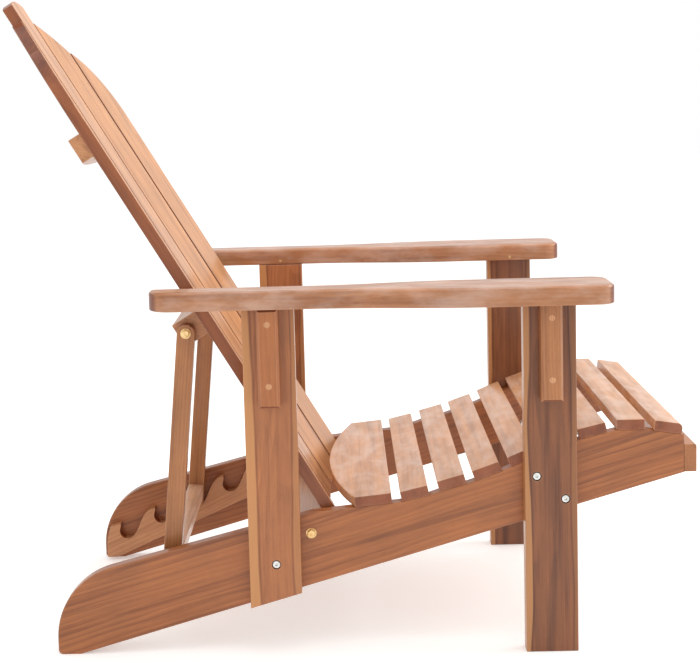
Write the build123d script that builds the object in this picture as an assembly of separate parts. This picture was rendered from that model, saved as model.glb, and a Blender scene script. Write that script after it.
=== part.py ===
from build123d import *
import os
from math import acos, atan2, cos, degrees, hypot, radians, sin, tan

# Reclining adirondack chair in teak, built board by board.
# +X points where the sitter looks, +Y to the sitter's left, +Z up, all in millimetres.
# The layout starts at the rear edge of the front legs. The finished chair is then moved
# so that the origin lies on the ground under the centre of the whole chair.

# General joinery
EASE = 2.0                 # rounding of the sawn edges
FIT = 0.05                 # radial room of a pin, screw or bolt in its hole
SHOW = 1.5                 # rounding of small visible ends

# Side rails: long sloping boards, foot at the rear, seat curve on top
SEAT_HALF = 248.0          # from the mid-plane to the outer face of a rail
RAIL_T = 22.0
RAIL_REAR = -808.0
RAIL_FRONT = 274.0
RAIL_SLOPE = 16.06         # of the straight lower edge, degrees
RAIL_TOP_SLOPE = 14.4      # of the upper edge behind the seat, degrees
FOOT_FRONT = -769.0        # where the flat foot ends and the lower edge rises
HEEL_R = 8.0
NOSE_R = 130.0             # round rear end
NOSE_Z = 28.0
RAIL_IN = SEAT_HALF - RAIL_T

# Seat slats: rear top corner (x, z) and slope in degrees, from the back to the front
SEAT_LINE = (
    (-288.0, 269.0, 5.7),
    (-210.0, 276.6, 13.0),
    (-146.5, 293.3, 15.0),
    (-86.5, 310.1, 19.3),
    (-26.0, 332.5, 23.0),
    (33.0, 356.9, 20.6),
    (93.5, 378.9, 13.5),
    (159.5, 394.0, 0.0),
    (225.0, 391.5, -8.5),
)
SLAT_W = 48.0
SLAT_T = 18.0
FIRST_SLAT_W = 63.5        # at its ends
FIRST_SLAT_SWEEP = 44.0    # how far its rear edge bows back at the middle
NOSE_SLAT_R = 9.0          # rounded front edge of the last slat
DOWEL_R = 3.0
DOWEL_SPREAD = 22.0
SLAT_DOWEL_UP = 11.0
SLAT_DOWEL_DOWN = 15.0

# Front board
APRON_T = 21.0
APRON_LOW = 301.0
APRON_HIGH = 349.0
APRON_NOSE = 4.0
APRON_DOWEL_R = 4.0
APRON_DOWEL_IN = 12.0
APRON_DOWEL_BACK = 26.0
APRON_DOWEL_SPREAD = 26.0

# Front legs and rear posts, bolted to the outer faces of the rails
LEG_W = 88.0
LEG_T = 27.0
LEG_REAR = 0.0
POST_REAR = -469.0
TENON_W = 48.0
TENON_T = 11.0
TENON_H = 18.0
LEG_OUT = SEAT_HALF + LEG_T

# Arms
ARM_Z = 606.0
ARM_T = 32.0
ARM_FRONT = 145.0
ARM_REAR = -623.0
ARM_OVER_IN = 22.0         # the wide front reaches this far inside the leg
ARM_OVER_OUT = 55.0        # and this far outside it
ARM_TAIL_IN = -2.0         # the same at the narrow rear
ARM_TAIL_OUT = 28.0
ARM_WAIST = -350.0         # from here back the arm is narrow
ARM_SHOULDER_IN = -100.0   # from here forward the arm is wide, inner edge
ARM_SHOULDER_OUT = -60.0   # the same, outer edge
ARM_FRONT_R = 27.0
ARM_TAIL_R = 38.0
ARM_TAIL_IN_R = 10.0
ARM_EDGE = 6.0
ARM_IN_FRONT = SEAT_HALF - ARM_OVER_IN
ARM_OUT_FRONT = LEG_OUT + ARM_OVER_OUT
ARM_IN_REAR = SEAT_HALF - ARM_TAIL_IN
ARM_OUT_REAR = LEG_OUT + ARM_TAIL_OUT
ARM_PIN_R = 2.5
ARM_PIN_UP = 7.0           # above the arm's lower face
ARM_PIN_SINK = 0.8

# Brackets under the arms
BRACKET_W = 36.0
BRACKET_H = 166.0
BRACKET_D = 25.0
BRACKET_EDGE = 4.0
BRACKET_SCREW_DROPS = (25.0, 129.0)
PLUG_R = 5.0
PLUG_DEPTH = 7.0
PLUG_PROUD = 0.4

# Bolts through legs and posts
BOLT_R = 4.0
BOLT_HEAD_R = 6.5
BOLT_HEAD_H = 4.0
BOLT_SOCKET = 5.0
BOLT_SOCKET_DEPTH = 2.8
BOLT_SINK = 4.6
BOLT_SINK_R = 8.0
LEG_BOLTS = ((20.0, 307.0), (68.0, 267.0))
POST_BOLTS = ((-423.0, 163.0),)
WASHER_T = 1.5
WASHER_R = 8.5
NUT_AF = 13.0
NUT_H = 6.5
BOLT_PAST_NUT = 1.5

# Wood screws
SCREW_R = 2.2
SCREW_HEAD_R = 4.2
SCREW_HEAD_H = 2.8
BRACKET_SCREW_L = 34.0
BACK_SCREW_L = 34.0
BACK_SCREW_BITE = 15.0     # how far it reaches into the back slat
SCREW_SLOT_DEPTH = 1.4
SCREW_SLOT_W = 1.2

# Notched racks for the prop, inside the rails
RACK_T = 20.0
RACK_SLOPE = 23.8
RACK_INSET = 7.0           # from the rail's outline
NOTCH_COUNT = 4
NOTCH_PITCH = 79.0
NOTCH_R = 16.5
FIRST_NOTCH = (-757.0, 62.5)
REST_NOTCH = 2             # counted from 0 at the rear
TOOTH_RISE = 15.0          # tooth tip above the notch centre
TOOTH_OVER = 3.5           # tooth tip leans over the notch
TOOTH_R = 2.0
RACK_EASE = 1.0
RAMP_TURN = 37.0           # where the ramp leaves the notch, degrees below level
RAMP_TOP = 8.0             # slope of the ramp at the tooth tip
RACK_BELOW = 40.0          # lower edge below the line of notch centres
RACK_IN = RAIL_IN - RACK_T
RACK_DOWEL_STEPS = (0.45, 1.95, 3.45)   # in pitches from the first notch
RACK_DOWEL_DROP = 27.0
RACK_DOWEL_R = 4.0
RACK_DOWEL_IN = 12.0       # into the rail and into the rack

# Back: slats on three cleats, hung on the pivot bolts
PIVOT = (-363.0, 208.0)
RECLINE = 30.75            # of the back at rest, degrees from upright
BACK_SLAT_T = 20.5
BACK_GAP = 6.0
BACK_EASE = 1.0
BACK_ROOM = 6.5            # from the outer slats to the rails
BACK_FRONT = 26.0          # middle slat's front face, forward of the pivot
BACK_BOTTOM = -20.0        # slats start this far below the pivot, measured along them
WING_TILT = 9.3            # the side slats turn towards the sitter, degrees
WING_SHARE = cos(radians(WING_TILT))
BACK_HALF = RAIL_IN - BACK_ROOM
BACK_SLAT_W = (BACK_HALF - BACK_GAP * (1 + WING_SHARE)) / (0.5 + 2 * WING_SHARE)
MIDDLE_CORNER = 1060.0
MIDDLE_CREST = 1069.5
INNER_HIGH = 1025.0
INNER_LOW = 953.5
INNER_BULGE = 5.0
OUTER_TOP_R = 185.0
OUTER_TOP_START = 797.5    # where the outer edge starts to round over
CLEAT_H = 45.0
CLEAT_REAR = -20.0
PIVOT_SIDE = 1.0           # room between the bottom cleat's end and the rail, for a spacer
TOP_CLEAT_S = 764.5
TOP_CLEAT_HALF = BACK_HALF - 1.5
TOP_CLEAT_END = 11.0       # rear face at the ends
TOP_CLEAT_MID = -13.0      # rear face at the middle
BACK_SCREW_SPREAD = 46.0
BACK_SCREW_STAGGER = 12.0

# Prop frame: two struts and a crossbar, hinged on the middle cleat
STRUT_BOLT_S = 402.0
STRUT_BOLT_N = -3.0
STRUT_W = 31.0
STRUT_T = 20.0
STRUT_GAP = 1.3            # between a strut and the rack beside it
CROSSBAR_W = 30.0
CROSSBAR_H = 29.0
CROSSBAR_UP = 24.0         # its centre above the foot's centre
CROSSBAR_DOWEL_R = 4.0
CROSSBAR_DOWEL_SPREAD = 15.0
CROSSBAR_DOWEL_OUT = 12.0
CROSSBAR_DOWEL_IN = 22.0

# Pivot hardware, brass
PIVOT_R = 4.0
PIVOT_HEAD_AF = 13.0
PIVOT_HEAD_H = 5.3
PIVOT_PLAY = 0.08          # radial room where a board turns on its bolt
SPACER_T = 0.9
BRASS_WASHER_T = 1.2
BRASS_WASHER_R = 9.0
BARREL_R = 5.0
BARREL_L = 18.0
BARREL_IN = 24.0           # from the cleat's end
PIVOT_BOLT_PAST = 8.0      # bolt end beyond the barrel nut's axis

STRUT_OUT = RACK_IN - STRUT_GAP
STRUT_IN = STRUT_OUT - STRUT_T
DOWN = (Align.CENTER, Align.CENTER, Align.MAX)
UP = (Align.CENTER, Align.CENTER, Align.MIN)

nodes = {}


def pair(name, left):
    """Add a left piece and its mirror image."""
    nodes[f"{name}_left"] = left
    nodes[f"{name}_right"] = mirror(left, about=Plane.XZ)


def group(name, left_solids):
    """Add like pieces of both sides as one node."""
    solids = [s for piece in left_solids for s in piece.solids()]
    mirrored = [s for piece in solids for s in mirror(piece, about=Plane.XZ).solids()]
    nodes[name] = Compound(children=solids + mirrored)


def slab(face, low, high):
    """Extrude an outline drawn in X-Z across the chair, from y = low to y = high."""
    return extrude(Plane.XZ.offset(-high) * face, high - low)


def board(face, low, high, ease=EASE):
    """A slab with the edges of both faces rounded."""
    body = slab(face, low, high)
    faces = body.faces().sort_by(Axis.Y)
    return fillet(faces[0].edges() + faces[-1].edges(), ease)


def soften(face, points, radius):
    """Round the corners of an outline that lie at the given points."""
    corners = [face.vertices().sort_by_distance((*point, 0))[0] for point in points]
    return fillet(corners, radius)


def outward(x, y, z):
    """A place on the left side of the chair where local +Z points outwards."""
    return Pos(x, y, z) * Rot(-90, 0, 0)


def inward(x, y, z):
    """The same, with local +Z towards the mid-plane."""
    return Pos(x, y, z) * Rot(90, 0, 0)


def hole(radius, depth):
    return Cylinder(radius, depth, align=DOWN)


def rod(radius, length):
    return Cylinder(radius, length, align=DOWN)


def screw(length):
    """Countersunk slotted wood screw, head flush with z = 0, point down."""
    profile = make_face(Polyline(
        (0, 0),
        (SCREW_HEAD_R, 0),
        (SCREW_R, -SCREW_HEAD_H),
        (SCREW_R, -length + 2 * SCREW_R),
        (0, -length),
        (0, 0),
    ))
    body = revolve(Plane.XZ * profile, Axis.Z)
    slot = Box(3 * SCREW_HEAD_R, SCREW_SLOT_W, 2 * SCREW_SLOT_DEPTH)
    return body - slot


def screw_hole(length):
    """Room for a screw, open upwards from z = 0 by the sink of its head."""
    profile = make_face(Polyline(
        (0, 0),
        (SCREW_HEAD_R + FIT, 0),
        (SCREW_R + FIT, -SCREW_HEAD_H),
        (SCREW_R + FIT, -length - FIT),
        (0, -length - FIT),
        (0, 0),
    ))
    return revolve(Plane.XZ * profile, Axis.Z)


def socket_bolt(length):
    """Round-headed bolt with a hex socket, head seat at z = 0."""
    head = Cylinder(BOLT_HEAD_R, BOLT_HEAD_H, align=UP)
    head = fillet(head.faces().sort_by(Axis.Z)[-1].edges(), 1.0)
    socket = extrude(RegularPolygon(BOLT_SOCKET / 2, 6, major_radius=False), BOLT_SOCKET_DEPTH)
    head -= Pos(0, 0, BOLT_HEAD_H - BOLT_SOCKET_DEPTH) * socket
    return head + rod(BOLT_R, length)


def hex_bolt(length):
    """Brass hex bolt, head seat at z = 0."""
    head = extrude(RegularPolygon(PIVOT_HEAD_AF / 2, 6, major_radius=False), PIVOT_HEAD_H)
    head = chamfer(head.faces().sort_by(Axis.Z)[-1].edges(), 0.9)
    return head + rod(PIVOT_R, length)


def washer(outer, inner, thickness):
    """Flat ring standing on z = 0."""
    return Cylinder(outer, thickness, align=UP) - Cylinder(inner, thickness, align=UP)


def rail_bottom(x):
    """Height of the rail's straight lower edge."""
    return (x - FOOT_FRONT) * tan(radians(RAIL_SLOPE))


def seat_place(index):
    """Local frame of a seat slat: origin at its rear top corner, +X across it, +Z out of it."""
    x, z, slope = SEAT_LINE[index]
    return Pos(x, 0, z) * Rot(0, -slope, 0)


def slat_width(index):
    return FIRST_SLAT_W if index == 0 else SLAT_W


def under_slat(index, along):
    """Point (x, z) on a slat's underside, the given distance from its rear edge."""
    x, z, slope = SEAT_LINE[index]
    turn = radians(slope)
    return (x + along * cos(turn) + SLAT_T * sin(turn), z + along * sin(turn) - SLAT_T * cos(turn))


def rail_face():
    """Outline of a side rail in X-Z: foot, lower edge, front end, seat facets, round tail."""
    centre_x = RAIL_REAR + NOSE_R
    turn = radians(90 + RAIL_TOP_SLOPE)
    crown = (centre_x + NOSE_R * cos(turn), NOSE_Z + NOSE_R * sin(turn))
    first = under_slat(0, 0)
    seat_rise = tan(radians(SEAT_LINE[0][2]))
    tail_rise = tan(radians(RAIL_TOP_SLOPE))
    knee_x = (first[1] - crown[1] + tail_rise * crown[0] - seat_rise * first[0]) / (tail_rise - seat_rise)
    knee = (knee_x, crown[1] + tail_rise * (knee_x - crown[0]))
    facets = []
    for index in range(len(SEAT_LINE)):
        facets.append(under_slat(index, 0))
        facets.append(under_slat(index, slat_width(index)))
    last = facets[-1]
    front_top = (RAIL_FRONT, last[1] + (RAIL_FRONT - last[0]) * tan(radians(SEAT_LINE[-1][2])))
    heel = (RAIL_REAR, 0)
    front_low = (RAIL_FRONT, rail_bottom(RAIL_FRONT))
    edge = Polyline(
        (RAIL_REAR, NOSE_Z),
        heel,
        (FOOT_FRONT, 0),
        front_low,
        front_top,
        *reversed(facets[1:]),
        knee,
        crown,
    )
    tail = CenterArc((centre_x, NOSE_Z), NOSE_R, 90 + RAIL_TOP_SLOPE, 90 - RAIL_TOP_SLOPE)
    return soften(make_face(edge + tail), [heel], HEEL_R)


def notch_centre(index):
    """Centre (x, z) of a rack notch, counted from the rear."""
    step = index * NOTCH_PITCH
    turn = radians(RACK_SLOPE)
    return (FIRST_NOTCH[0] + step * cos(turn), FIRST_NOTCH[1] + step * sin(turn))


def rack_point(step, drop):
    """Point (x, z) on the rack: step pitches along it and drop below the notch centres."""
    turn = radians(RACK_SLOPE)
    x, z = notch_centre(step)
    return (x + drop * sin(turn), z - drop * cos(turn))


def tooth_tip(index):
    """Tip (x, z) of the tooth behind a notch."""
    x, z = notch_centre(index)
    return (x - NOTCH_R + TOOTH_OVER, z + TOOTH_RISE)


def rack_face():
    """Saw-tooth outline of a rack in X-Z, cut off at the rail's round tail."""
    turn = radians(RACK_SLOPE)
    edges = []
    tips = []
    leave = radians(-RAMP_TURN)
    for index in range(NOTCH_COUNT):
        x, z = notch_centre(index)
        tip = tooth_tip(index)
        tips.append(tip)
        wall_foot = (x - NOTCH_R, z)
        ramp_foot = (x + NOTCH_R * cos(leave), z + NOTCH_R * sin(leave))
        next_tip = tooth_tip(index + 1)
        climb = (sin(-leave), cos(leave))
        crest = (cos(radians(RAMP_TOP)), sin(radians(RAMP_TOP)))
        edges.append(Line(tip, wall_foot))
        edges.append(CenterArc((x, z), NOTCH_R, 180, 180 - RAMP_TURN))
        edges.append(Spline(ramp_foot, next_tip, tangents=(climb, crest)))
    tips.append(next_tip)
    width = RACK_BELOW + TOOTH_RISE * cos(turn) + NOTCH_R * sin(turn)
    front_low = (next_tip[0] + width * sin(turn), next_tip[1] - width * cos(turn))
    reach = NOTCH_PITCH
    rear_high = (tips[0][0] - reach * cos(turn), tips[0][1] - reach * sin(turn))
    rear_low = (rear_high[0] + width * sin(turn), rear_high[1] - width * cos(turn))
    edges.append(Polyline(next_tip, front_low, rear_low, rear_high))
    edges.append(Spline(rear_high, tips[0], tangents=((cos(turn), sin(turn)), (cos(turn / 2), sin(turn / 2)))))
    saw = soften(make_face(edges), tips, TOOTH_R)
    return saw & offset(rail_face(), -RACK_INSET)


def slat_dowels(index):
    """Dowel places of one seat slat end, local +Z up through the slat's underside."""
    middle = slat_width(index) / 2
    y = SEAT_HALF - RAIL_T / 2
    spots = [middle - DOWEL_SPREAD / 2, middle + DOWEL_SPREAD / 2]
    return [seat_place(index) * Pos(along, y, -SLAT_T) for along in spots]


def slat_dowel(place, room):
    length = SLAT_DOWEL_UP + SLAT_DOWEL_DOWN + 2 * room
    return place * Pos(0, 0, SLAT_DOWEL_UP + room) * Cylinder(DOWEL_R + room, length, align=DOWN)


def apron_dowel(z, room):
    length = APRON_DOWEL_IN + APRON_DOWEL_BACK + 2 * room
    place = Pos(RAIL_FRONT + APRON_DOWEL_IN + room, SEAT_HALF - RAIL_T / 2, z) * Rot(0, 90, 0)
    return place * Cylinder(APRON_DOWEL_R + room, length, align=DOWN)


APRON_DOWEL_ZS = [
    (APRON_LOW + APRON_HIGH) / 2 + side * APRON_DOWEL_SPREAD / 2 for side in (-1, 1)
]
FRAME_BOLTS = LEG_BOLTS + POST_BOLTS


def rack_dowels(room):
    """Blind dowels between a rack and its rail."""
    reach = 2 * RACK_DOWEL_IN + 2 * room
    spots = [rack_point(step, RACK_DOWEL_DROP) for step in RACK_DOWEL_STEPS]
    pin = Cylinder(RACK_DOWEL_R + room, reach)
    return [outward(x, RAIL_IN, z) * pin for x, z in spots]


def make_rails():
    """Side rails with holes for bolts, dowels, screws and the pivot."""
    rail = board(rail_face(), RAIL_IN, SEAT_HALF)
    for x, z in FRAME_BOLTS:
        rail -= outward(x, SEAT_HALF, z) * hole(BOLT_R + FIT, RAIL_T)
    rail -= outward(PIVOT[0], SEAT_HALF, PIVOT[1]) * hole(PIVOT_R + PIVOT_PLAY, RAIL_T)
    for index in range(len(SEAT_LINE)):
        for place in slat_dowels(index):
            rail -= slat_dowel(place, FIT)
    for z in APRON_DOWEL_ZS:
        rail -= apron_dowel(z, FIT)
    for cut in rack_dowels(FIT):
        rail -= cut
    pair("side_rail", rail)


def make_racks():
    rack = board(rack_face(), RACK_IN, RAIL_IN, RACK_EASE)
    for cut in rack_dowels(FIT):
        rack -= cut
    pair("notch_rack", rack)
    group("rack_dowels", rack_dowels(0))


def rounded_section(width, thickness, front_top):
    """Slat section below z = 0 with rounded corners, its front top corner rounder."""
    face = Pos(width / 2, -thickness / 2) * Rectangle(width, thickness)
    face = soften(face, [(0, 0), (0, -thickness), (width, -thickness)], EASE)
    return soften(face, [(width, 0)], front_top)


def make_seat():
    """Nine seat slats and the blind dowels under their ends."""
    last = len(SEAT_LINE) - 1
    dowels = []
    for index in range(len(SEAT_LINE)):
        if index == 0:
            solid = first_slat()
        else:
            front_top = NOSE_SLAT_R if index == last else EASE
            solid = board(rounded_section(SLAT_W, SLAT_T, front_top), -SEAT_HALF, SEAT_HALF, SHOW)
        solid = seat_place(index) * solid
        for place in slat_dowels(index):
            cut = slat_dowel(place, FIT)
            solid -= cut
            solid -= mirror(cut, about=Plane.XZ)
            dowels.append(slat_dowel(place, 0))
        nodes[f"seat_slat_{index + 1}"] = solid
    group("seat_dowels", dowels)


def first_slat():
    """Rearmost slat, its rear edge bowed back to follow the hollow of the back."""
    rear = ThreePointArc((0, SEAT_HALF), (-FIRST_SLAT_SWEEP, 0), (0, -SEAT_HALF))
    rest = Polyline((0, -SEAT_HALF), (FIRST_SLAT_W, -SEAT_HALF), (FIRST_SLAT_W, SEAT_HALF), (0, SEAT_HALF))
    plate = extrude(make_face(rear + rest), -SLAT_T)
    faces = plate.faces().sort_by(Axis.Z)
    return fillet(faces[0].edges() + faces[-1].edges(), SHOW)


def make_apron():
    """Front board across the rail ends, rounded along its upper front edge."""
    centre = (RAIL_FRONT + APRON_T / 2, (APRON_LOW + APRON_HIGH) / 2)
    face = Pos(*centre) * Rectangle(APRON_T, APRON_HIGH - APRON_LOW)
    front = RAIL_FRONT + APRON_T
    face = soften(face, [(front, APRON_HIGH)], APRON_NOSE)
    face = soften(face, [(front, APRON_LOW)], EASE)
    apron = board(face, -SEAT_HALF, SEAT_HALF, SHOW)
    for z in APRON_DOWEL_ZS:
        cut = apron_dowel(z, FIT)
        apron -= cut
        apron -= mirror(cut, about=Plane.XZ)
    nodes["front_apron"] = apron
    group("apron_dowels", [apron_dowel(z, 0) for z in APRON_DOWEL_ZS])


def upright(rear, foot):
    """Leg or post: a flat board outside the rail with a tenon up into the arm."""
    body = board(foot, SEAT_HALF, LEG_OUT)
    middle_y = SEAT_HALF + LEG_T / 2
    tenon = Pos(rear + LEG_W / 2, middle_y, ARM_Z) * Box(TENON_W, TENON_T, TENON_H, align=UP)
    return body + tenon


def arm_pin_places():
    """Pins through the arm's inner edge and the tenons: (x, inner face y)."""
    spots = []
    for rear, face_y in ((LEG_REAR, ARM_IN_FRONT), (POST_REAR, ARM_IN_REAR)):
        spots.append((rear + LEG_W / 2, face_y))
    return spots


def arm_pin(x, face_y, room):
    y = face_y + ARM_PIN_SINK
    reach = LEG_OUT - y
    start = inward(x, y - room, ARM_Z + ARM_PIN_UP)
    return start * Cylinder(ARM_PIN_R + room, reach + 2 * room, align=DOWN)


def arm_pin_hole(x, face_y):
    """A pin's room, open to the arm's inner face."""
    mouth = inward(x, face_y, ARM_Z + ARM_PIN_UP)
    return arm_pin(x, face_y, FIT) + mouth * hole(ARM_PIN_R + FIT, ARM_PIN_SINK * 2)


def bracket_screw_places():
    """Screw seats under the plugs of the left brackets, as (x, z) pairs."""
    spots = []
    for rear in (LEG_REAR, POST_REAR):
        for drop in BRACKET_SCREW_DROPS:
            spots.append((rear + LEG_W / 2, ARM_Z - drop))
    return spots


def bracket_screw_place(x, z):
    return outward(x, LEG_OUT + BRACKET_D - PLUG_DEPTH, z)


def make_uprights():
    """Front legs and rear posts."""
    leg_face = Pos(LEG_REAR + LEG_W / 2, ARM_Z / 2) * Rectangle(LEG_W, ARM_Z)
    leg = upright(LEG_REAR, leg_face)
    post_front = POST_REAR + LEG_W
    post_face = make_face(Polyline(
        (POST_REAR, rail_bottom(POST_REAR)),
        (post_front, rail_bottom(post_front)),
        (post_front, ARM_Z),
        (POST_REAR, ARM_Z),
        (POST_REAR, rail_bottom(POST_REAR)),
    ))
    post = upright(POST_REAR, post_face)
    sink = Cylinder(BOLT_SINK_R, BOLT_SINK, align=DOWN)
    for x, z in LEG_BOLTS:
        leg -= outward(x, LEG_OUT, z) * (sink + hole(BOLT_R + FIT, LEG_T))
    for x, z in POST_BOLTS:
        post -= outward(x, LEG_OUT, z) * (sink + hole(BOLT_R + FIT, LEG_T))
    for x, z in bracket_screw_places():
        cut = bracket_screw_place(x, z) * screw_hole(BRACKET_SCREW_L)
        leg -= cut
        post -= cut
    for x, face_y in arm_pin_places():
        leg -= arm_pin_hole(x, face_y)
        post -= arm_pin_hole(x, face_y)
    pair("front_leg", leg)
    pair("rear_post", post)


def make_frame_bolts():
    """Bolts through legs, posts and rails, with washers and nuts inside."""
    bolts = []
    nuts = []
    length = LEG_T + RAIL_T - BOLT_SINK + WASHER_T + NUT_H + BOLT_PAST_NUT
    nut = extrude(RegularPolygon(NUT_AF / 2, 6, major_radius=False), NUT_H)
    nut = chamfer(nut.faces().sort_by(Axis.Z)[-1].edges(), 0.8)
    nut -= Cylinder(BOLT_R + FIT, NUT_H, align=UP)
    for x, z in FRAME_BOLTS:
        bolts.append(outward(x, LEG_OUT - BOLT_SINK, z) * socket_bolt(length))
        inside = inward(x, RAIL_IN, z)
        nuts.append(inside * washer(WASHER_R, BOLT_R + FIT, WASHER_T))
        nuts.append(inside * Pos(0, 0, WASHER_T) * nut)
    group("frame_bolts", bolts)
    group("frame_nuts", nuts)


def make_arms():
    """Flat arms, wide in front and narrow behind, on the tenons of legs and posts."""
    inner = Spline(
        (ARM_WAIST, ARM_IN_REAR),
        (ARM_SHOULDER_IN, ARM_IN_FRONT),
        tangents=((1, 0), (1, 0)),
    )
    outer = Spline(
        (ARM_SHOULDER_OUT, ARM_OUT_FRONT),
        (ARM_WAIST, ARM_OUT_REAR),
        tangents=((-1, 0), (-1, 0)),
    )
    front = Polyline(
        (ARM_SHOULDER_IN, ARM_IN_FRONT),
        (ARM_FRONT, ARM_IN_FRONT),
        (ARM_FRONT, ARM_OUT_FRONT),
        (ARM_SHOULDER_OUT, ARM_OUT_FRONT),
    )
    tail = Polyline(
        (ARM_WAIST, ARM_OUT_REAR),
        (ARM_REAR, ARM_OUT_REAR),
        (ARM_REAR, ARM_IN_REAR),
        (ARM_WAIST, ARM_IN_REAR),
    )
    plan = make_face(inner + front + outer + tail)
    plan = soften(plan, [(ARM_FRONT, ARM_IN_FRONT), (ARM_FRONT, ARM_OUT_FRONT)], ARM_FRONT_R)
    plan = soften(plan, [(ARM_REAR, ARM_OUT_REAR)], ARM_TAIL_R)
    plan = soften(plan, [(ARM_REAR, ARM_IN_REAR)], ARM_TAIL_IN_R)
    arm = extrude(Pos(0, 0, ARM_Z) * plan, ARM_T)
    arm = fillet(arm.faces().sort_by(Axis.Z)[-1].edges(), ARM_EDGE)
    arm = fillet(arm.faces().sort_by(Axis.Z)[0].edges(), EASE)
    for rear in (LEG_REAR, POST_REAR):
        middle = Pos(rear + LEG_W / 2, SEAT_HALF + LEG_T / 2, ARM_Z)
        arm -= middle * Box(TENON_W, TENON_T, TENON_H, align=UP)
    for x, face_y in arm_pin_places():
        arm -= arm_pin_hole(x, face_y)
    pair("armrest", arm)
    group("arm_pins", [arm_pin(x, face_y, 0) for x, face_y in arm_pin_places()])


def make_brackets():
    """Blocks under the arms on the outer faces of legs and posts, screwed and plugged."""
    block = Box(BRACKET_W, BRACKET_D, BRACKET_H, align=(Align.CENTER, Align.MIN, Align.MAX))
    block = chamfer(block.faces().sort_by(Axis.Y)[-1].edges(), BRACKET_EDGE)
    plug = Cylinder(PLUG_R, PLUG_DEPTH + PLUG_PROUD, align=UP)
    plug = fillet(plug.faces().sort_by(Axis.Z)[-1].edges(), PLUG_PROUD)
    plugs = []
    screws = []
    for name, rear in (("front_arm_bracket", LEG_REAR), ("rear_arm_bracket", POST_REAR)):
        bracket = Pos(rear + LEG_W / 2, LEG_OUT, ARM_Z) * block
        for x, z in bracket_screw_places():
            place = bracket_screw_place(x, z)
            bracket -= place * screw_hole(BRACKET_SCREW_L)
            bracket -= place * Cylinder(PLUG_R + FIT, PLUG_DEPTH, align=UP)
        pair(name, bracket)
    for x, z in bracket_screw_places():
        place = bracket_screw_place(x, z)
        plugs.append(place * plug)
        screws.append(place * screw(BRACKET_SCREW_L))
    group("bracket_plugs", plugs)
    group("bracket_screws", screws)


BACK = Pos(PIVOT[0], 0, PIVOT[1]) * Rot(0, -RECLINE, 0)


def wing_place():
    """Left side slats' frame: origin on the front face at the inner edge, +Y across them."""
    return Pos(BACK_FRONT, BACK_SLAT_W / 2 + BACK_GAP, 0) * Rot(0, 0, -WING_TILT)


def wing_rear(y):
    """Rear face of the side slats at a distance from the mid-plane, forward of the pivot."""
    turn = radians(WING_TILT)
    start_y = BACK_SLAT_W / 2 + BACK_GAP + BACK_SLAT_T * sin(turn)
    start_x = BACK_FRONT - BACK_SLAT_T * cos(turn)
    return start_x + (y - start_y) * tan(turn)


def wing_kink():
    """Distance from the mid-plane where the middle and side slats' rear faces meet."""
    turn = radians(WING_TILT)
    start_y = BACK_SLAT_W / 2 + BACK_GAP + BACK_SLAT_T * sin(turn)
    return start_y - (BACK_SLAT_T - BACK_SLAT_T * cos(turn)) / tan(turn)


def back_board(top, low_y, high_y, low_s, high_s):
    """Back slat in its own frame: front face at x = 0, top edge given from high_y to low_y."""
    sides = Polyline((low_y, low_s), (low_y, BACK_BOTTOM), (high_y, BACK_BOTTOM), (high_y, high_s))
    body = extrude(Plane.YZ * make_face(sides + top), -BACK_SLAT_T)
    faces = body.faces().sort_by(Axis.X)
    return fillet(faces[0].edges() + faces[-1].edges(), BACK_EASE)


def cleats():
    """Each cleat's middle (measured along the slats) and its half length."""
    return (
        ("bottom", 0.0, RAIL_IN - PIVOT_SIDE),
        ("middle", STRUT_BOLT_S, STRUT_IN - SPACER_T),
        ("top", TOP_CLEAT_S, TOP_CLEAT_HALF),
    )


def back_screw_places(slat, start):
    """Screw seats of one slat, local +Z to the rear, in the back's frame, as far as cleats reach."""
    seat = BACK_SCREW_BITE - BACK_SLAT_T - BACK_SCREW_L
    places = []
    for name, cleat_s, half in cleats():
        for side in (-1, 1):
            along = start + BACK_SLAT_W / 2 + side * BACK_SCREW_SPREAD / 2
            place = slat * Pos(seat, along, cleat_s - side * BACK_SCREW_STAGGER) * Rot(0, -90, 0)
            if abs(place.position.Y) + 2 * SCREW_HEAD_R < half:
                places.append(place)
    return places


MIDDLE_SLAT = Pos(BACK_FRONT, -BACK_SLAT_W / 2, 0)
MIDDLE_SCREWS = back_screw_places(MIDDLE_SLAT, 0)
INNER_SCREWS = back_screw_places(wing_place(), 0)
OUTER_SCREWS = back_screw_places(wing_place(), BACK_SLAT_W + BACK_GAP)


def drilled(slat, places):
    for place in places:
        slat -= place * screw_hole(BACK_SCREW_L)
    return slat


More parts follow.
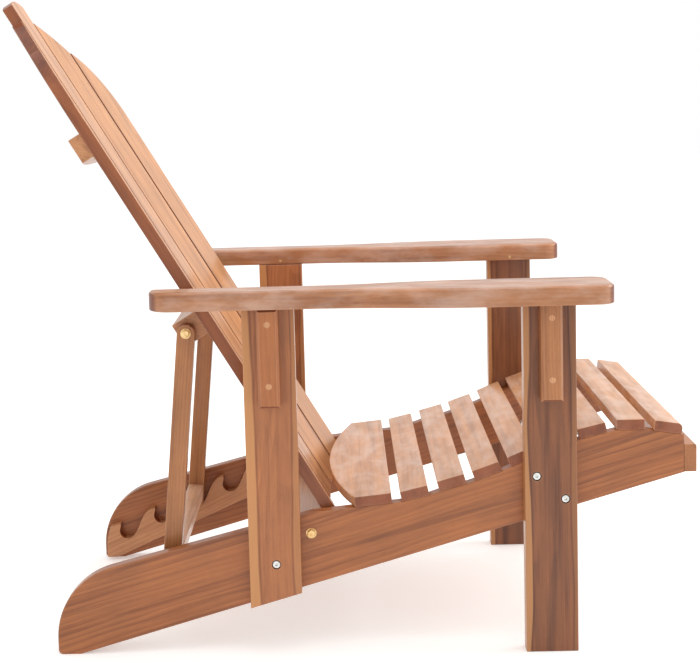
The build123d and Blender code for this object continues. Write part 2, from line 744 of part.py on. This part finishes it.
def make_back_slats():
    """Five back slats; the outer four turn towards the sitter."""
    crest = ThreePointArc((BACK_SLAT_W, MIDDLE_CORNER), (BACK_SLAT_W / 2, MIDDLE_CREST), (0, MIDDLE_CORNER))
    middle = back_board(crest, 0, BACK_SLAT_W, MIDDLE_CORNER, MIDDLE_CORNER)
    nodes["back_slat_middle"] = BACK * drilled(MIDDLE_SLAT * middle, MIDDLE_SCREWS)
    bulge = (INNER_HIGH + INNER_LOW) / 2 + INNER_BULGE
    slope = ThreePointArc((BACK_SLAT_W, INNER_LOW), (BACK_SLAT_W / 2, bulge), (0, INNER_HIGH))
    inner = back_board(slope, 0, BACK_SLAT_W, INNER_HIGH, INNER_LOW)
    pair("back_slat_inner", BACK * drilled(wing_place() * inner, INNER_SCREWS))
    start = BACK_SLAT_W + BACK_GAP
    end = start + BACK_SLAT_W
    sweep = acos((OUTER_TOP_R - BACK_SLAT_W) / OUTER_TOP_R)
    shoulder = CenterArc((end - OUTER_TOP_R, OUTER_TOP_START), OUTER_TOP_R, 0, degrees(sweep))
    shoulder_top = OUTER_TOP_START + OUTER_TOP_R * sin(sweep)
    outer = back_board(shoulder, start, end, shoulder_top, OUTER_TOP_START)
    pair("back_slat_outer", BACK * drilled(wing_place() * outer, OUTER_SCREWS))


def cleat_face(half, end_rear, middle_rear):
    """Plan of a cleat: front follows the slats' rear faces, rear straight or bowed."""
    kink = wing_kink()
    flat = BACK_FRONT - BACK_SLAT_T
    front = Polyline((end_rear, half), (wing_rear(half), half), (flat, kink), (flat, -kink),
                     (wing_rear(half), -half), (end_rear, -half))
    if end_rear == middle_rear:
        rear = Line((end_rear, -half), (end_rear, half))
    else:
        rear = ThreePointArc((end_rear, -half), (middle_rear, 0), (end_rear, half))
    return make_face(front + rear)


def barrel_place(half, s, n):
    """Axis of a barrel nut in a cleat, local +Z to the rear, in the back's frame."""
    return Pos(n, half - BARREL_IN, s) * Rot(0, -90, 0)


def make_cleats():
    """Three cleats behind the slats, drilled for the screws, pivots and barrel nuts."""
    rears = {
        "bottom": (CLEAT_REAR, CLEAT_REAR),
        "middle": (CLEAT_REAR, CLEAT_REAR),
        "top": (TOP_CLEAT_END, TOP_CLEAT_MID),
    }
    pivots = {"bottom": 0.0, "middle": STRUT_BOLT_N}
    screw_room = screw_hole(BACK_SCREW_L) + Cylinder(SCREW_HEAD_R + FIT, 4 * BACK_SLAT_T, align=UP)
    for name, s, half in cleats():
        face = cleat_face(half, *rears[name])
        cleat = extrude(Pos(0, 0, s - CLEAT_H / 2) * face, CLEAT_H)
        ends = cleat.faces().sort_by(Axis.Z)
        cleat = fillet(ends[0].edges() + ends[-1].edges(), SHOW)
        for place in MIDDLE_SCREWS + INNER_SCREWS + OUTER_SCREWS:
            if abs(place.position.Z - s) < CLEAT_H:
                cut = place * screw_room
                cleat -= cut
                cleat -= mirror(cut, about=Plane.XZ)
        if name in pivots:
            n = pivots[name]
            place = barrel_place(half, s, n)
            deep = Pos(0, 0, -BARREL_L / 2 - FIT)
            cut = place * deep * Cylinder(BARREL_R + FIT, BARREL_L + 2 * CLEAT_H, align=UP)
            length = BARREL_IN + PIVOT_BOLT_PAST + FIT
            cut += Pos(n, half, s) * Rot(-90, 0, 0) * hole(PIVOT_R + FIT, length)
            cleat -= cut
            cleat -= mirror(cut, about=Plane.XZ)
        nodes[f"back_cleat_{name}"] = BACK * cleat


def make_pivot_hardware():
    """Hex bolts, washers and spacers of the back's pivots and of the prop's pivots."""
    barrel = Pos(0, 0, -BARREL_L / 2) * Cylinder(BARREL_R, BARREL_L, align=UP)
    barrel -= Rot(90, 0, 0) * Cylinder(PIVOT_R + FIT, 3 * BARREL_R)
    sets = (
        ("pivot", 0.0, 0.0, RAIL_IN - PIVOT_SIDE, RAIL_IN, SEAT_HALF),
        ("strut", STRUT_BOLT_S, STRUT_BOLT_N, STRUT_IN - SPACER_T, STRUT_IN, STRUT_OUT),
    )
    for name, s, n, half, inner_y, outer_y in sets:
        head_y = outer_y + BRASS_WASHER_T
        bolt = Pos(n, head_y, s) * Rot(-90, 0, 0) * hex_bolt(head_y - half + BARREL_IN + PIVOT_BOLT_PAST)
        under_head = Pos(n, outer_y, s) * Rot(-90, 0, 0)
        under_head *= washer(BRASS_WASHER_R, PIVOT_R + FIT, BRASS_WASHER_T)
        spacer = Pos(n, half, s) * Rot(-90, 0, 0) * washer(BRASS_WASHER_R, PIVOT_R + FIT, SPACER_T)
        group(f"{name}_bolts", [BACK * bolt])
        group(f"{name}_washers", [BACK * under_head, BACK * spacer])
        group(f"{name}_barrel_nuts", [BACK * barrel_place(half, s, n) * barrel])


def make_back_screws():
    places = INNER_SCREWS + OUTER_SCREWS
    solids = [BACK * place * screw(BACK_SCREW_L) for place in places]
    mirrored = [mirror(solid, about=Plane.XZ) for solid in solids]
    middle = [BACK * place * screw(BACK_SCREW_L) for place in MIDDLE_SCREWS]
    nodes["back_screws"] = Compound(children=solids + mirrored + middle)


def strut_bolt_point():
    """Strut pivot (x, z) at rest."""
    turn = radians(RECLINE)
    x = PIVOT[0] - STRUT_BOLT_S * sin(turn) + STRUT_BOLT_N * cos(turn)
    z = PIVOT[1] + STRUT_BOLT_S * cos(turn) + STRUT_BOLT_N * sin(turn)
    return (x, z)


def make_prop():
    """Two struts and their crossbar, feet at the rest notch."""
    bolt_x, bolt_z = strut_bolt_point()
    foot_x, foot_z = notch_centre(REST_NOTCH)
    length = hypot(bolt_x - foot_x, bolt_z - foot_z)
    lean = degrees(atan2(bolt_x - foot_x, bolt_z - foot_z))
    prop = Pos(bolt_x, 0, bolt_z) * Rot(0, lean, 0)
    face = Pos(0, -length / 2) * SlotCenterToCenter(length, STRUT_W, rotation=90)
    strut = board(face, STRUT_IN, STRUT_OUT, SHOW)
    strut -= outward(0, STRUT_OUT, 0) * hole(PIVOT_R + PIVOT_PLAY, STRUT_T)
    bar_z = CROSSBAR_UP - length
    bar = Pos(0, 0, bar_z) * Box(CROSSBAR_W, 2 * STRUT_IN, CROSSBAR_H)
    bar = fillet(bar.edges().filter_by(Axis.Y), EASE)
    dowels = []
    for side in (-1, 1):
        place = Pos(side * CROSSBAR_DOWEL_SPREAD / 2, STRUT_IN + CROSSBAR_DOWEL_OUT, bar_z) * Rot(-90, 0, 0)
        reach = CROSSBAR_DOWEL_OUT + CROSSBAR_DOWEL_IN
        room = Pos(0, 0, FIT) * Cylinder(CROSSBAR_DOWEL_R + FIT, reach + 2 * FIT, align=DOWN)
        strut -= place * room
        bar -= place * room
        bar -= mirror(place * room, about=Plane.XZ)
        dowels.append(prop * place * rod(CROSSBAR_DOWEL_R, reach))
    pair("prop_strut", prop * strut)
    nodes["prop_crossbar"] = prop * bar
    group("crossbar_dowels", dowels)
    return length, lean


make_rails()
make_racks()
make_seat()
make_apron()
make_uprights()
make_frame_bolts()
make_arms()
make_brackets()
make_back_slats()
make_cleats()
make_pivot_hardware()
make_back_screws()
strut_length, strut_lean = make_prop()

# Stand the chair over the origin: on the ground, under the centre of its overall box.
boxes = [shape.bounding_box() for shape in nodes.values()]
rear_end = min(box.min.X for box in boxes)
front_end = max(box.max.X for box in boxes)
CENTRE_X = (rear_end + front_end) / 2

os.makedirs("parts", exist_ok=True)
for name, shape in nodes.items():
    export_step(Pos(-CENTRE_X, 0, 0) * shape, f"parts/{name}.step")

print(f"shift x {-CENTRE_X:.4f}, nodes {len(nodes)}")
print(f"back pivot x {PIVOT[0] - CENTRE_X:.4f} z {PIVOT[1]:.4f}")
print(f"strut pivot x {strut_bolt_point()[0] - CENTRE_X:.4f} z {strut_bolt_point()[1]:.4f}")
print(f"strut length {strut_length:.3f}, lean {strut_lean:.3f} degrees")
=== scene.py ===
import math
import random
from functools import partial

import bmesh
import bpy
from mathutils import Matrix, Vector


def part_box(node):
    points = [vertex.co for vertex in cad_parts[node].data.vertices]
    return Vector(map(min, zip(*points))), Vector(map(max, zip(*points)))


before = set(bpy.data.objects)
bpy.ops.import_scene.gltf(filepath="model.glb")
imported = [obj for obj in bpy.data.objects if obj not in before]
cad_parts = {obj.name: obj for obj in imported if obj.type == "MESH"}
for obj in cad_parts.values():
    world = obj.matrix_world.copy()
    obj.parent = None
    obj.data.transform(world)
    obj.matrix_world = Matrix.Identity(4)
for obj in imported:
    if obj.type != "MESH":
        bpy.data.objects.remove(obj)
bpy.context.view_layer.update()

SCENE = bpy.context.scene
MM = 0.001

UP = Vector((0, 0, 1))
ALONG = Vector((1, 0, 0))
ACROSS = Vector((0, 1, 0))

# How the boards lie: slopes in degrees
RAIL_SLOPE = 16.06
RACK_SLOPE = 23.8
RECLINE = 30.75
STRUT_LEAN = 5.54
SEAT_SLOPES = (5.7, 13.0, 15.0, 19.3, 23.0, 20.6, 13.5, 0.0, -8.5)

# Heartwood and its dark rings: frame boards, the darker front legs, the rear posts, the paler
# seat and back (paler as painted light on their lit faces), the arms, the small boards, the racks
# and the bar between the struts (both paler as painted light lifting the shade they stand in)
HEART = ("#A26134", "#79411E")
DARK_HEART = ("#844E2C", "#57321C")
POST_HEART = ("#A9693D", "#7D4526")
PALE_WITH_PAINTED_LIGHT = ("#C58D60", "#9F6B47")
# Seat and back boards: a paler copy of the teak, painted light on their lit faces
ARM_HEART = ("#A76F48", "#875434")
LIGHT_HEART = ("#A96F42", "#875232")
# Racks: paler heartwood, painted light lifting the shade they stand in
RACK_HEART_WITH_PAINTED_LIGHT = ("#BC8257", "#99653F")
# Crossbar: very pale heartwood, painted light lifting the shade on its top
BAR_HEART_WITH_PAINTED_LIGHT = ("#DDB08A", "#BE8E6A")

# Tones shared by every teak board
SAPWOOD = "#C58B55"
OIL_STAIN = "#8F6450"
# Brown of end grain, a real stain, also laid on back slat edges as painted shade in the gaps
END_STAIN_AND_GAP_SHADE = "#AD7F60"
# Chalky pale of dried-out oil, also standing in as a painted sheen on sky-facing boards
CHALK_AND_SHEEN = "#DDC4B6"
WORN_EDGE = "#CFA689"

# Sizes in the wood, in millimetres
PITH_WANDER = 34     # how far the pith line drifts sideways
RING_WOBBLE = 26     # how far it drifts in depth
SAP_WAVER = 30       # how much the edge of the sapwood wavers
SAP_FADE = 3         # the strip where heartwood turns to sapwood
ARRIS = 2.5          # how far the wear reaches in from an edge
GRAIN_RELIEF = 0.2   # how far the fibres stand up

# Node settings used many times
MIX = {"data_type": "RGBA"}
STAIN = {"data_type": "RGBA", "blend_type": "MULTIPLY"}
SMOOTH = {"interpolation_type": "SMOOTHSTEP"}
ADD = {"operation": "ADD"}
MULTIPLY = {"operation": "MULTIPLY"}
MULTIPLY_ADD = {"operation": "MULTIPLY_ADD"}
DOT_PRODUCT = {"operation": "DOT_PRODUCT"}

# The room: white surroundings, and a floor with its radius in metres
WHITE = (1.0, 1.0, 1.0, 1.0)
FLOOR_RADIUS = 14.0
FLOOR_PAINT = "#E8E7E5"
FLOOR_GLOW = 0.35

# The camera, in metres and degrees
CAMERA_PLACE = (0.0053, -2.4329, 0.9723)
CAMERA_TURN = 1.1009
CAMERA_TILT = 84.150
CAMERA_ROLL = -1.6135


def linear(hex_colour):
    """sRGB hex to the linear RGBA that shaders use."""
    channels = [int(hex_colour[i:i + 2], 16) / 255 for i in (1, 3, 5)]
    return tuple(c / 12.92 if c <= 0.04045 else ((c + 0.055) / 1.055) ** 2.4
                 for c in channels) + (1.0,)


def first_output(node):
    """The output in use: a Mix or Vector Math node hides the others."""
    return next(socket for socket in node.outputs if socket.enabled)


def add_node(tree, kind, settings=None, **inputs):
    """Add a node; inputs are values, sockets or nodes, by socket name or as in_N by number."""
    node = tree.nodes.new(kind)
    for name, value in (settings or {}).items():
        setattr(node, name, value)
    for name, value in inputs.items():
        by_number = name.startswith("in_")
        socket = node.inputs[int(name[3:]) if by_number else name.replace("_", " ")]
        if isinstance(value, bpy.types.Node):
            value = first_output(value)
        if isinstance(value, bpy.types.NodeSocket):
            tree.links.new(value, socket)
        else:
            socket.default_value = value
    return node


def new_material(name):
    material = bpy.data.materials.new(name)
    material.use_nodes = True
    tree = material.node_tree
    tree.nodes.clear()
    output = tree.nodes.new("ShaderNodeOutputMaterial")
    shader = tree.nodes.new("ShaderNodeBsdfPrincipled")
    tree.links.new(shader.outputs["BSDF"], output.inputs["Surface"])
    return material, tree, shader


def slope_vector(degrees):
    """Direction forward and up at a slope, in the plane of the chair's side."""
    turn = math.radians(degrees)
    return Vector((math.cos(turn), 0, math.sin(turn)))


# Teak, planed, sanded and oiled once. Each board is a slice of its own log: growth rings are
# rings round a pith line that runs beside the board, so faces, edges and ends show the same
# rings as real wood does.
def teak_board(name, centre, grain, face, light, dark, ring_mm=6.0, pith_mm=(60.0, 90.0),
               lean=1.2, contrast=0.4, streak=0.4, bloom_and_sheen=0.0, sap=(), gap_shade=0.0,
               end_tone=1.0, seed=0):
    """Material of one board. grain and face are directions in the chair's frame."""
    rng = random.Random(seed)
    material, tree, shader = new_material(name)
    add = partial(add_node, tree)
    across = face.cross(grain).normalized()
    turn = Matrix((grain, across, face.normalized()))
    coords = add("ShaderNodeTexCoord")
    board = add("ShaderNodeMapping", Vector=coords.outputs["Object"], Rotation=turn.to_euler(),
                Location=-(turn @ centre))
    place = add("ShaderNodeSeparateXYZ", Vector=board)

    # Cloudy patterns, each stretched to the length and width in millimetres of what it draws
    cloud = {}
    for feature, length_mm, width_mm, detail in (
        ("wander", 420, 75, 2.0),        # the pith line's drift
        ("wobble", 300, 60, 2.0),
        ("spacing", 900, 24, 2.0),       # lean and fat years
        ("figure", 600, 40, 2.0),        # where rings show strongly
        ("band", 420, 20, 3.0),          # streaks of heartwood oil
        ("line", 260, 3.2, 3.0),         # thin dark lines along the grain
        ("fibre", 34, 1.5, 4.0),
        ("pore", 14, 0.8, 1.0),
        ("mottle", 90, 42, 2.0),         # broad light and dark clouds
        ("chalk_sheen_patch", 75, 34, 3.0),           # patches where the oil has dried out, and painted sheen
        ("shore", 330, 60, 1.5),         # wavering edge of the sapwood
    ):
        size = Vector((1 / length_mm, 1 / width_mm, 1 / width_mm)) / MM
        spot = Vector((rng.uniform(-9, 9), rng.uniform(-9, 9), rng.uniform(-9, 9)))
        scaled = add("ShaderNodeMapping", Vector=board, Scale=size, Location=spot)
        cloud[feature] = add("ShaderNodeTexNoise", Vector=scaled, Scale=1.0, Detail=detail,
                             Roughness=0.6)

    # Growth rings: distance from the wandering pith line, counted in rings
    side = add("ShaderNodeMath", MULTIPLY_ADD, in_0=cloud["wander"], in_1=PITH_WANDER * MM,
               in_2=(pith_mm[0] - PITH_WANDER / 2) * MM)
    side = add("ShaderNodeMath", ADD, in_0=place.outputs["Y"], in_1=side)
    drift = add("ShaderNodeMath", MULTIPLY_ADD, in_0=place.outputs["X"],
                in_1=math.tan(math.radians(lean)), in_2=place.outputs["Z"])
    depth = add("ShaderNodeMath", MULTIPLY_ADD, in_0=cloud["wobble"], in_1=RING_WOBBLE * MM,
                in_2=(pith_mm[1] - RING_WOBBLE / 2) * MM)
    depth = add("ShaderNodeMath", ADD, in_0=drift, in_1=depth)
    flat_place = add("ShaderNodeCombineXYZ", X=side, Y=depth)
    distance = add("ShaderNodeVectorMath", {"operation": "LENGTH"}, in_0=flat_place)
    years = add("ShaderNodeMath", MULTIPLY_ADD, in_0=distance, in_1=1 / (ring_mm * MM),
                in_2=cloud["spacing"])
    season = add("ShaderNodeMath", {"operation": "FRACT"}, in_0=years)
    rise = add("ShaderNodeMapRange", SMOOTH, in_0=season, in_1=0.1, in_2=0.84)
    fall = add("ShaderNodeMapRange", SMOOTH, in_0=season, in_1=1.0, in_2=0.88)
    late = add("ShaderNodeMath", MULTIPLY, in_0=rise, in_1=fall)
    figure = add("ShaderNodeMapRange", SMOOTH, in_0=cloud["figure"], in_1=0.34, in_2=0.66,
                 in_3=0.25, in_4=1.0)
    late = add("ShaderNodeMath", MULTIPLY, in_0=late, in_1=figure)

    # Colour: rings, then oily bands, thin lines and pores, then clouds and fibres
    fac = add("ShaderNodeMath", MULTIPLY, in_0=late, in_1=contrast)
    wood = add("ShaderNodeMix", MIX, in_0=fac, in_6=linear(light), in_7=linear(dark))
    for feature, low, high, depth_of_tone in (
        ("band", 0.44, 0.72, streak),
        ("line", 0.54, 0.72, 0.55 * streak),
        ("pore", 0.61, 0.70, 0.22),
    ):
        fac = add("ShaderNodeMapRange", SMOOTH, in_0=cloud[feature], in_1=low, in_2=high,
                  in_4=depth_of_tone)
        wood = add("ShaderNodeMix", STAIN, in_0=fac, in_6=wood, in_7=linear(OIL_STAIN))
    for feature, dim, bright in (("mottle", 0.90, 1.10), ("fibre", 0.93, 1.06)):
        tint = add("ShaderNodeMapRange", in_0=cloud[feature], in_1=0.3, in_2=0.7, in_3=dim,
                   in_4=bright)
        wood = add("ShaderNodeVectorMath", {"operation": "SCALE"}, in_0=wood, Scale=tint)

    # Golden sapwood along an edge, with a thin dark line where it meets the heartwood. Each
    # strip says which side it is on, how far from the board's middle it starts, how strong it is.
    for edge_side, start_mm, strength in sap:
        reach = add("ShaderNodeMath", MULTIPLY_ADD, in_0=cloud["shore"], in_1=SAP_WAVER * MM,
                    in_2=-SAP_WAVER / 2 * MM)
        reach = add("ShaderNodeMath", MULTIPLY_ADD, in_0=place.outputs["Y"], in_1=edge_side,
                    in_2=reach)
        fac = add("ShaderNodeMapRange", SMOOTH, in_0=reach, in_1=start_mm * MM,
                  in_2=(start_mm + SAP_FADE) * MM, in_4=strength)
        wood = add("ShaderNodeMix", MIX, in_0=fac, in_6=wood, in_7=linear(SAPWOOD))
        line = add("ShaderNodeMapRange", SMOOTH, in_0=reach, in_1=(start_mm - SAP_FADE) * MM,
                   in_2=start_mm * MM)
        fac = add("ShaderNodeMath", {"operation": "SUBTRACT"}, in_0=line, in_1=fac)
        fac = add("ShaderNodeMath", {"operation": "MULTIPLY", "use_clamp": True}, in_0=fac,
                  in_1=0.45)
        wood = add("ShaderNodeMix", STAIN, in_0=fac, in_6=wood, in_7=linear(OIL_STAIN))
    if bloom_and_sheen:
        # Chalky patches on the boards that face the sky: partly oil dried out, partly a painted
        # sheen on their tops
        fac = add("ShaderNodeMapRange", SMOOTH, in_0=cloud["chalk_sheen_patch"], in_1=0.34, in_2=0.74,
                  in_4=bloom_and_sheen)
        wood = add("ShaderNodeMix", MIX, in_0=fac, in_6=wood, in_7=linear(CHALK_AND_SHEEN))

    # End grain drinks more oil and turns brown; on back slats the planed edges take the same
    # brown, as painted shade in the gaps between the slats
    for direction, tone in ((grain, end_tone), (across, gap_shade)):
        facing = add("ShaderNodeVectorMath", DOT_PRODUCT, in_0=coords.outputs["Normal"],
                     in_1=direction)
        facing = add("ShaderNodeMath", {"operation": "ABSOLUTE"}, in_0=facing)
        fac = add("ShaderNodeMapRange", SMOOTH, in_0=facing, in_1=0.5, in_2=0.8, in_4=tone)
        wood = add("ShaderNodeMix", STAIN, in_0=fac, in_6=wood, in_7=linear(END_STAIN_AND_GAP_SHADE))

    # Sanded arrises wear paler
    rounded = add("ShaderNodeBevel", {"samples": 4}, Radius=ARRIS * MM)
    geometry = add("ShaderNodeNewGeometry")
    flatness = add("ShaderNodeVectorMath", DOT_PRODUCT, in_0=rounded,
                   in_1=geometry.outputs["Normal"])
    worn = add("ShaderNodeMapRange", SMOOTH, in_0=flatness, in_1=0.995, in_2=0.90, in_4=0.35)
    patchy = add("ShaderNodeMapRange", in_0=cloud["mottle"], in_1=0.3, in_2=0.7, in_3=0.3,
                 in_4=1.0)
    worn = add("ShaderNodeMath", MULTIPLY, in_0=worn, in_1=patchy)
    wood = add("ShaderNodeMix", MIX, in_0=worn, in_6=wood, in_7=linear(WORN_EDGE))

    # Satin sheen, duller on the fibres; the grain stands a little proud of the pores
    rough = add("ShaderNodeMapRange", in_0=cloud["mottle"], in_1=0.25, in_2=0.75, in_3=0.38,
                in_4=0.5)
    rough = add("ShaderNodeMath", MULTIPLY_ADD, in_0=cloud["fibre"], in_1=0.08, in_2=rough)
    relief = add("ShaderNodeMath", MULTIPLY_ADD, in_0=late, in_1=0.25, in_2=cloud["fibre"])
    relief = add("ShaderNodeMath", MULTIPLY_ADD, in_0=cloud["pore"], in_1=-0.5, in_2=relief)
    bump = add("ShaderNodeBump", Strength=0.3, Distance=GRAIN_RELIEF * MM, Height=relief)
    for value, socket in ((wood, "Base Color"), (rough, "Roughness"), (bump, "Normal")):
        tree.links.new(first_output(value), shader.inputs[socket])
    shader.inputs["IOR"].default_value = 1.5
    shader.inputs["Specular IOR Level"].default_value = 0.3
    shader.inputs["Coat Weight"].default_value = 0.45
    shader.inputs["Coat Roughness"].default_value = 0.2
    return material


def metal(name, colour, tarnish, roughness, seed):
    """Turned and plated hardware: fine lathe and tool marks and dull spots."""
    material, tree, shader = new_material(name)
    add = partial(add_node, tree)
    coords = add("ShaderNodeTexCoord")
    mark_mm, spot_mm = 0.6, 6
    fine = add("ShaderNodeMapping", Vector=coords.outputs["Object"],
               Location=Vector((seed * 3.1, seed * 1.7, 0)),
               Scale=Vector((1, 1, 1)) / (mark_mm * MM))
    marks = add("ShaderNodeTexNoise", Vector=fine, Scale=1.0, Detail=3.0)
    spots = add("ShaderNodeTexNoise", Vector=coords.outputs["Object"],
                Scale=1 / (spot_mm * MM), Detail=2.0)
    dull = add("ShaderNodeMapRange", in_0=spots, in_1=0.4, in_2=0.7)
    mixed = add("ShaderNodeMix", MIX, in_0=dull, in_6=linear(colour), in_7=linear(tarnish))
    rough = add("ShaderNodeMapRange", in_0=marks, in_1=0.3, in_2=0.7, in_3=roughness - 0.08,
                in_4=roughness + 0.12)
    bump = add("ShaderNodeBump", Strength=0.2, Distance=0.05 * MM, Height=marks)
    for value, socket in ((mixed, "Base Color"), (rough, "Roughness"), (bump, "Normal")):
        tree.links.new(first_output(value), shader.inputs[socket])
    shader.inputs["Metallic"].default_value = 1.0
    return material


def dress(node, material):
    """Give a CAD node its finish."""
    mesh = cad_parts[node].data
    mesh.materials.clear()
    mesh.materials.append(material)


def middle_of(node):
    low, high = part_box(node)
    return (low + high) / 2


def make_boards():
    """Each board: its node, grain and face directions, heartwood, and what is special to it."""
    rail = slope_vector(RAIL_SLOPE)
    rack = slope_vector(RACK_SLOPE)
    strut = slope_vector(90 - STRUT_LEAN)
    back = slope_vector(90 + RECLINE)
    back_face = slope_vector(RECLINE)
    boards = []
    for side in ("left", "right"):
        boards += [
            (f"side_rail_{side}", rail, ACROSS, HEART,
             dict(pith_mm=(150, 60), ring_mm=9, contrast=0.55, streak=0.5)),
            (f"front_leg_{side}", UP, ACROSS, DARK_HEART,
             dict(pith_mm=(5, 60), ring_mm=8, contrast=0.6, streak=0.7,
                  sap=((-1, 34, 0.7), (1, 33, 0.3)))),
            (f"rear_post_{side}", UP, ACROSS, POST_HEART,
             dict(pith_mm=(-40, 150), ring_mm=5, sap=((-1, 29, 0.8), (1, 36, 0.5)))),
            (f"front_arm_bracket_{side}", UP, ACROSS, LIGHT_HEART, dict(pith_mm=(90, 40))),
            (f"rear_arm_bracket_{side}", UP, ACROSS, HEART,
             dict(pith_mm=(70, 80), contrast=0.3)),
            (f"armrest_{side}", ALONG, UP, ARM_HEART,
             dict(pith_mm=(40, 95), ring_mm=8, bloom_and_sheen=0.3)),
            # The racks are paler: painted light lifting the shade they stand in
            (f"notch_rack_{side}", rack, ACROSS, RACK_HEART_WITH_PAINTED_LIGHT, dict(pith_mm=(80, 90))),
            (f"prop_strut_{side}", strut, ACROSS, LIGHT_HEART, dict(pith_mm=(90, 70))),
            # Back slats take the paler heartwood, painted light on their lit faces
            (f"back_slat_inner_{side}", back, back_face, PALE_WITH_PAINTED_LIGHT,
             dict(pith_mm=(120, 90), gap_shade=0.9)),
            (f"back_slat_outer_{side}", back, back_face, PALE_WITH_PAINTED_LIGHT,
             dict(pith_mm=(70, 60), gap_shade=0.9)),
        ]
    boards.append(("back_slat_middle", back, back_face, PALE_WITH_PAINTED_LIGHT,
                   dict(pith_mm=(20, 110), gap_shade=0.9)))
    for level in ("bottom", "middle", "top"):
        boards.append((f"back_cleat_{level}", ACROSS, back_face, PALE_WITH_PAINTED_LIGHT,
                       dict(pith_mm=(80, 60), end_tone=0.2)))
    boards += [
        # The crossbar is pale and chalky: painted light on its shaded top
        ("prop_crossbar", ACROSS, ALONG, BAR_HEART_WITH_PAINTED_LIGHT, dict(pith_mm=(60, 60), bloom_and_sheen=0.5)),
        ("front_apron", ACROSS, ALONG, LIGHT_HEART, dict(pith_mm=(50, 90), end_tone=0.3)),
    ]
    # Seat slats: paler heartwood and chalky patches, partly painted light on their sky-facing
    # tops
    for number, slope in enumerate(SEAT_SLOPES, 1):
        boards.append((f"seat_slat_{number}", ACROSS, slope_vector(90 + slope), PALE_WITH_PAINTED_LIGHT,
                       dict(pith_mm=(35 + 23 * (number % 4), 70), ring_mm=9, contrast=0.25,
                            bloom_and_sheen=0.45)))
    for seed, (node, grain, face, tones, extra) in enumerate(boards):
        dress(node, teak_board(f"oiled_teak_{node}", middle_of(node), grain, face, *tones,
                               seed=seed, **extra))


def make_small_parts():
    """Wood plugs and dowels, zinc-plated screws and bolts, and brass where the chair moves."""
    plugs = teak_board("teak_plug_face_grain", middle_of("bracket_plugs"), UP, ACROSS, *PALE_WITH_PAINTED_LIGHT,
                       ring_mm=3)
    zinc = metal("zinc_plated_steel", "#DADBD9", "#BDBDB9", roughness=0.32, seed=1)
    brass = metal("satin_brass", "#EBCB96", "#C79C62", roughness=0.30, seed=2)
    for finish, nodes in (
        (plugs, ("bracket_plugs", "seat_dowels", "apron_dowels", "rack_dowels",
                 "crossbar_dowels")),
        (zinc, ("frame_bolts", "frame_nuts", "bracket_screws", "back_screws")),
        (brass, ("pivot_bolts", "pivot_washers", "pivot_barrel_nuts", "strut_bolts",
                 "strut_washers", "strut_barrel_nuts", "arm_pins")),
    ):
        for node in nodes:
            dress(node, finish)


def softbox(name, place, target, size, power):
    light = bpy.data.lights.new(name, "AREA")
    light.shape = "SQUARE"
    light.size = size
    light.energy = power
    lamp = bpy.data.objects.new(name, light)
    lamp.location = place
    aim = Vector(target) - Vector(place)
    lamp.rotation_euler = aim.to_track_quat("-Z", "Y").to_euler()
    SCENE.collection.objects.link(lamp)


def make_stage():
    """Pale floor, white surroundings and soft studio lights."""
    mesh = bpy.data.meshes.new("studio_floor")
    shape = bmesh.new()
    bmesh.ops.create_circle(shape, cap_ends=True, radius=FLOOR_RADIUS, segments=64)
    shape.to_mesh(mesh)
    shape.free()
    floor = bpy.data.objects.new("studio_floor", mesh)
    SCENE.collection.objects.link(floor)
    paint, tree, shader = new_material("matt_white_floor")
    shader.inputs["Base Color"].default_value = linear(FLOOR_PAINT)
    shader.inputs["Emission Color"].default_value = WHITE
    shader.inputs["Emission Strength"].default_value = FLOOR_GLOW
    shader.inputs["Roughness"].default_value = 0.9
    mesh.materials.append(paint)

    world = bpy.data.worlds.new("white_studio")
    world.use_nodes = True
    surround = world.node_tree.nodes["Background"]
    surround.inputs["Color"].default_value = WHITE
    surround.inputs["Strength"].default_value = 1.0
    SCENE.world = world

    softbox("overhead_softbox", (0.2, -0.4, 3.2), (0, 0, 0.4), size=2.4, power=30)
    softbox("front_softbox", (2.8, 0.2, 2.0), (0, 0, 0.5), size=1.6, power=45)


def make_camera():
    """Long lens from the sitter's right, a little above the arms, tipped slightly."""
    data = bpy.data.cameras.new("camera")
    data.sensor_width = 36.0
    data.lens = 67.51
    data.shift_x = 0.05
    data.shift_y = -0.16
    camera = bpy.data.objects.new("camera", data)
    camera.location = CAMERA_PLACE
    turn = Matrix.Rotation(math.radians(CAMERA_TURN), 3, "Z")
    tilt = Matrix.Rotation(math.radians(CAMERA_TILT), 3, "X")
    roll = Matrix.Rotation(math.radians(CAMERA_ROLL), 3, "Z")
    camera.rotation_euler = (turn @ tilt @ roll).to_euler()
    SCENE.collection.objects.link(camera)
    SCENE.camera = camera


SCENE.view_settings.view_transform = "Standard"
make_camera()
make_boards()
make_small_parts()
make_stage()
